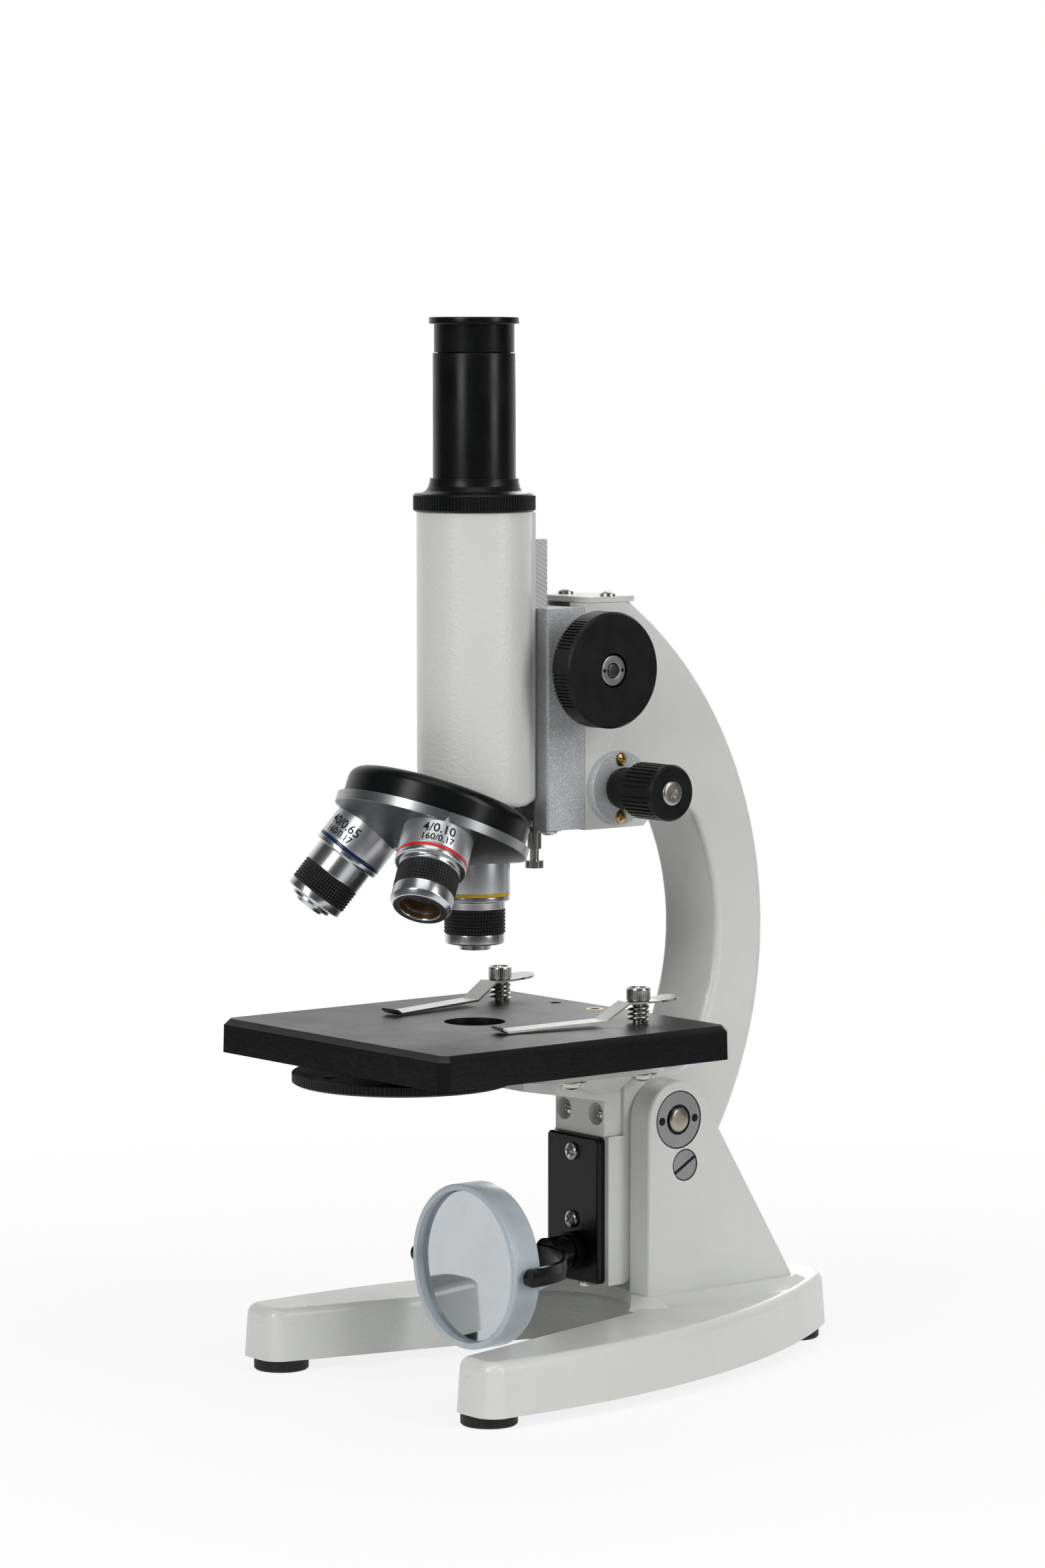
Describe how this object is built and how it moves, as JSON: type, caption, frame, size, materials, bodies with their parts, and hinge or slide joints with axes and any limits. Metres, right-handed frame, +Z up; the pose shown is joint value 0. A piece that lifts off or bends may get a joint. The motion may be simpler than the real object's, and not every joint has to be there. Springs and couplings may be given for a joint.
{
  "type": "school microscope",
  "caption": "Monocular school microscope with tilting curved arm, rack and cam focus, turning objective nosepiece, square stage with clips, disc diaphragm and swivelling mirror.",
  "frame": {"origin": "middle of the outer box on the floor under the rubber feet", "axes": "+Z up along the tube, +Y from the stage's front to the arm's back, +X to the right seen from the front"},
  "size_m": [0.1364, 0.2124, 0.3471],
  "materials": {
    "cream_paint": "semi-gloss paint with fine orange peel",
    "black_metal": "satin black anodised",
    "black_stage": "matte black, fine speckle",
    "black_knob": "satin black",
    "black_gloss": "gloss black",
    "hammer_silver": "sparkling silver hammer coat",
    "turret_aluminium": "turned satin",
    "objective_chrome": "satin chrome, engraved numbers",
    "grip_black": "knurled black",
    "ring_red": "gloss enamel",
    "ring_yellow": "gloss enamel",
    "ring_blue": "gloss enamel",
    "steel": "bright turned steel",
    "brass": "turned",
    "rubber": "matte",
    "milky_plastic": "milky, slightly clear",
    "mirror_glass": "silvered glass",
    "lens_glass": "coated"
  },
  "bodies": {
    "base": {"base_casting": "cream_paint", "rubber_feet": "rubber", "hinge_pin": "steel", "hinge_nuts": "steel", "limit_screws": "steel"},
    "arm": {"arm_casting": "cream_paint", "head_cover": "cream_paint", "cover_screws": "steel", "fine_flanges": "hammer_silver", "fine_flange_screws": "steel", "stage_bracket": "cream_paint", "bracket_screws": "steel", "stage_screws": "steel", "stage_plate": "black_stage", "stage_insert": "brass", "clip_screws": "steel", "clip_springs": "steel", "diaphragm_pivot": "steel", "mirror_plate": "black_gloss", "mirror_plate_screws": "steel", "tail_screw": "steel"},
    "diaphragm": {"diaphragm_disc": "black_metal"},
    "right_clip": {"clip_right": "steel"},
    "left_clip": {"clip_left": "steel"},
    "fork": {"mirror_fork": "black_gloss"},
    "mirror": {"mirror_frame": "milky_plastic", "mirror_plane": "mirror_glass", "mirror_concave": "mirror_glass"},
    "focus": {"focus_block": "hammer_silver", "stop_tab": "steel", "stop_tab_screw": "steel", "stop_lock_nut": "steel"},
    "stop": {"stop_screw": "steel"},
    "coarse": {"coarse_pinion": "steel", "coarse_knobs": "black_knob", "coarse_nuts": "steel"},
    "fine": {"fine_shaft": "steel", "fine_knobs": "black_knob", "fine_knob_screws": "steel"},
    "tube": {"body_tube": "cream_paint", "dovetail_slide": "steel", "focus_rack": "steel", "tube_collar": "black_metal", "drawtube": "black_metal", "nosepiece_mount": "black_metal", "turret_screw": "steel", "detent_spring": "steel"},
    "nosepiece": {"turret": "turret_aluminium", "barrel_4x": "objective_chrome", "barrel_10x": "objective_chrome", "barrel_40x": "objective_chrome", "band_4x": "ring_red", "band_10x": "ring_yellow", "band_40x": "ring_blue", "objective_grips": "grip_black", "objective_lenses": "lens_glass"},
    "eyepiece": {"eyepiece_shell": "black_metal", "eye_lens": "lens_glass", "field_lens": "lens_glass"}
  },
  "joints": [
    {"name": "arm_tilt", "type": "hinge", "parent": "base", "child": "arm", "pos_m": [0, 0.0261, 0.0824], "axis": [-1, 0, 0], "range_deg": [0, 45]},
    {"name": "diaphragm_turn", "type": "hinge", "parent": "arm", "child": "diaphragm", "pos_m": [0, -0.0706, 0.1023], "axis": [0, 0, 1], "continuous": true},
    {"name": "clip_right_swing", "type": "hinge", "parent": "arm", "child": "right_clip", "pos_m": [0.036, -0.0017, 0.1253], "axis": [0, 0, 1], "range_deg": [-20, 40]},
    {"name": "clip_left_swing", "type": "hinge", "parent": "arm", "child": "left_clip", "pos_m": [-0.036, -0.0017, 0.1253], "axis": [0, 0, -1], "range_deg": [-20, 40]},
    {"name": "fork_turn", "type": "hinge", "parent": "arm", "child": "fork", "pos_m": [0, -0.0011, 0.038], "axis": [0, 1, 0], "range_deg": [-90, 90]},
    {"name": "mirror_tilt", "type": "hinge", "parent": "fork", "child": "mirror", "pos_m": [0, -0.0411, 0.038], "axis": [1, 0, 0], "continuous": true},
    {"name": "fine_lift", "type": "slide", "parent": "arm", "child": "focus", "axis": [0, 0, 1], "range_m": [-0.001, 0.001]},
    {"name": "fine_turn", "type": "hinge", "parent": "arm", "child": "fine", "pos_m": [0, 0.0071, 0.1933], "axis": [1, 0, 0], "range_deg": [-150.5, 150.5]},
    {"name": "coarse_lift", "type": "slide", "parent": "focus", "child": "tube", "axis": [0, 0, 1], "range_m": [-0.017, 0.02]},
    {"name": "coarse_turn", "type": "hinge", "parent": "focus", "child": "coarse", "pos_m": [0, -0.0106, 0.2335], "axis": [1, 0, 0], "range_deg": [-213, 181]},
    {"name": "stop_set", "type": "slide", "parent": "focus", "child": "stop", "axis": [0, 0, 1], "range_m": [-0.003, 0.003]},
    {"name": "nosepiece_turn", "type": "hinge", "parent": "tube", "child": "nosepiece", "pos_m": [0, -0.0411, 0.2269], "axis": [0, -0.3746, -0.9272], "continuous": true},
    {"name": "eyepiece_lift", "type": "slide", "parent": "tube", "child": "eyepiece", "axis": [0, 0, 1], "range_m": [0, 0.035]}
  ],
  "couplings": [
    {"joint": "fine_turn", "follows": "fine_lift", "rad_per_m": 2618},
    {"joint": "coarse_turn", "follows": "coarse_lift", "rad_per_m": -185.19}
  ]
}
